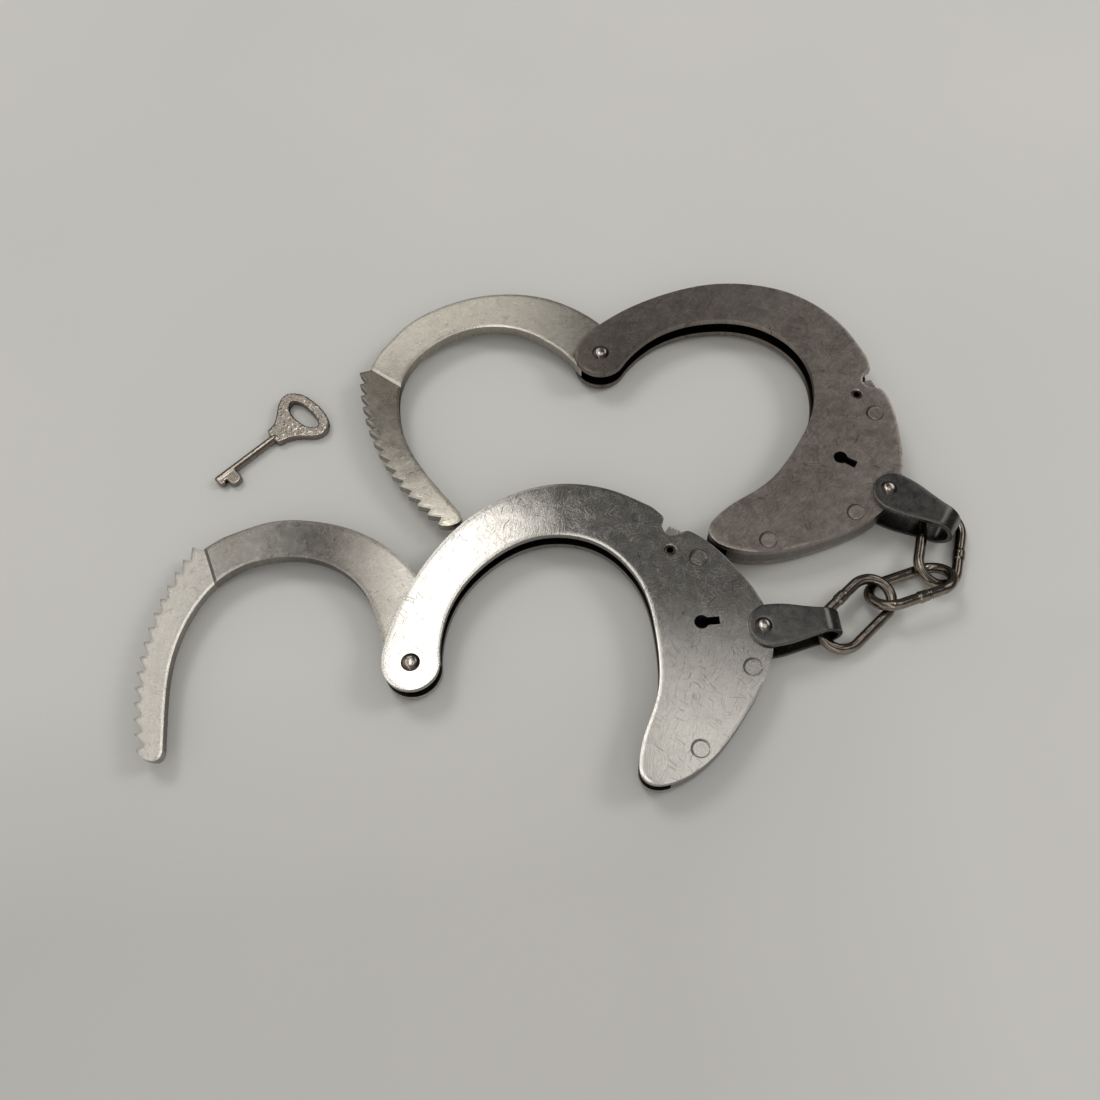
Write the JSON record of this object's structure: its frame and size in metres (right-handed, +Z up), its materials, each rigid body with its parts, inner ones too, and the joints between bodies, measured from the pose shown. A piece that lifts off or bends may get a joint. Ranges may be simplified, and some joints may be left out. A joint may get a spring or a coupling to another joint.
{
  "type": "handcuffs",
  "caption": "Chain-linked double-lock handcuffs with swing-through ratchet arms, lying open, with their flat key.",
  "frame": {"origin": "on the hinge axis of cuff A, where its hinge rivet's flat foot meets the plane the handcuffs lie on", "axes": "+Z up out of the lying handcuffs, +X from cuff A's hinge rivet to its chain rivet"},
  "size_m": [0.2344, 0.1631, 0.0119],
  "materials": {
    "cuff_a_plate_steel": "satin nickel-plated steel, scratched",
    "cuff_b_plate_steel": "satin nickel-plated steel, worn and darker",
    "arm_steel": "satin brushed steel",
    "polished_rivet": "polished domed head",
    "flush_rivet": "ground flush",
    "strap_steel": "dark satin steel",
    "link_steel": "polished wire",
    "key_nickel": "nickel-plated, hammered bow",
    "lock_internals": "plain steel"
  },
  "bodies": {
    "cuff_a_case": {"cuff_a_rear_cheek_plate": "cuff_a_plate_steel", "cuff_a_front_cheek_plate": "cuff_a_plate_steel", "cuff_a_lock_body": "cuff_a_plate_steel", "cuff_a_pawl_pin": "flush_rivet", "cuff_a_pawl_spring": "lock_internals", "cuff_a_slide_spring": "lock_internals", "cuff_a_hinge_rivet": "polished_rivet", "cuff_a_chain_rivet": "polished_rivet", "cuff_a_case_rivets": "flush_rivet"},
    "cuff_a_arm": {"cuff_a_ratchet_arm": "arm_steel"},
    "cuff_a_pawl": {"cuff_a_pawl": "lock_internals"},
    "cuff_a_slide": {"cuff_a_double_lock_slide": "lock_internals"},
    "cuff_a_strap": {"cuff_a_chain_strap": "strap_steel"},
    "cuff_b_case": {"cuff_b_rear_cheek_plate": "cuff_b_plate_steel", "cuff_b_front_cheek_plate": "cuff_b_plate_steel", "cuff_b_lock_body": "cuff_b_plate_steel", "cuff_b_pawl_pin": "flush_rivet", "cuff_b_pawl_spring": "lock_internals", "cuff_b_slide_spring": "lock_internals", "cuff_b_hinge_rivet": "polished_rivet", "cuff_b_chain_rivet": "polished_rivet", "cuff_b_case_rivets": "flush_rivet"},
    "cuff_b_arm": {"cuff_b_ratchet_arm": "arm_steel"},
    "cuff_b_pawl": {"cuff_b_pawl": "lock_internals"},
    "cuff_b_slide": {"cuff_b_double_lock_slide": "lock_internals"},
    "cuff_b_strap": {"cuff_b_chain_strap": "strap_steel"},
    "link_a": {"chain_link_a": "link_steel"},
    "link_middle": {"chain_link_middle": "link_steel"},
    "link_b": {"chain_link_b": "link_steel"},
    "key": {"key_shank": "key_nickel", "key_bow": "key_nickel"}
  },
  "joints": [
    {"name": "cuff_a_arm_swing", "type": "hinge", "parent": "cuff_a_case", "child": "cuff_a_arm", "pos_m": [0, 0, 0.00535], "axis": [0, 0, 1], "range_deg": [-8, 219.7]},
    {"name": "cuff_a_pawl_pivot", "type": "hinge", "parent": "cuff_a_case", "child": "cuff_a_pawl", "pos_m": [0.0736, 0.0258, 0.00535], "axis": [0, 0, 1], "range_deg": [-12.5, 0]},
    {"name": "cuff_a_double_lock", "type": "slide", "parent": "cuff_a_case", "child": "cuff_a_slide", "axis": [0.8192, -0.5736, 0], "range_m": [0, 0.0022]},
    {"name": "cuff_a_strap_swivel", "type": "hinge", "parent": "cuff_a_case", "child": "cuff_a_strap", "pos_m": [0.095, 0, 0.00535], "axis": [0, 0, 1], "range_deg": [-70, 0]},
    {"name": "link_a_in_strap", "type": "hinge", "parent": "cuff_a_strap", "child": "link_a", "pos_m": [0.11145, 0.00014, 0.00535], "axis": [-0.0087, 1, 0], "range_deg": [-60, 20]},
    {"name": "link_middle_on_link_a", "type": "hinge", "parent": "link_a", "child": "link_middle", "pos_m": [0.12686, 0.00687, 0.00448], "axis": [0.0105, -0.1452, 0.9893], "range_deg": [-75, 0]},
    {"name": "link_b_on_link_middle", "type": "hinge", "parent": "link_middle", "child": "link_b", "pos_m": [0.14445, 0.01078, 0.00505], "axis": [-0.1424, 0.5395, 0.8299], "range_deg": [-60, 0]},
    {"name": "cuff_b_strap_on_link_b", "type": "hinge", "parent": "link_b", "child": "cuff_b_strap", "pos_m": [0.15084, 0.02788, 0.00535], "axis": [0.599, 0.8007, 0], "range_deg": [-45, 20]},
    {"name": "cuff_b_strap_swivel", "type": "hinge", "parent": "cuff_b_strap", "child": "cuff_b_case", "pos_m": [0.13767, 0.03773, 0.00535], "axis": [0, 0, 1], "range_deg": [-70, 0]},
    {"name": "cuff_b_arm_swing", "type": "hinge", "parent": "cuff_b_case", "child": "cuff_b_arm", "pos_m": [0.0621, 0.0953, 0.00535], "axis": [0, 0, 1], "range_deg": [-210.2, 0]},
    {"name": "cuff_b_pawl_pivot", "type": "hinge", "parent": "cuff_b_case", "child": "cuff_b_pawl", "pos_m": [0.13628, 0.07122, 0.00535], "axis": [0, 0, -1], "range_deg": [0, 12.5]},
    {"name": "cuff_b_double_lock", "type": "slide", "parent": "cuff_b_case", "child": "cuff_b_slide", "axis": [0.304, -0.9527, 0], "range_m": [0, 0.0022]},
    {"name": "key_lift", "type": "slide", "parent": "cuff_a_case", "child": "key", "axis": [0, 0, 1], "range_m": [0, 0.04]}
  ]
}
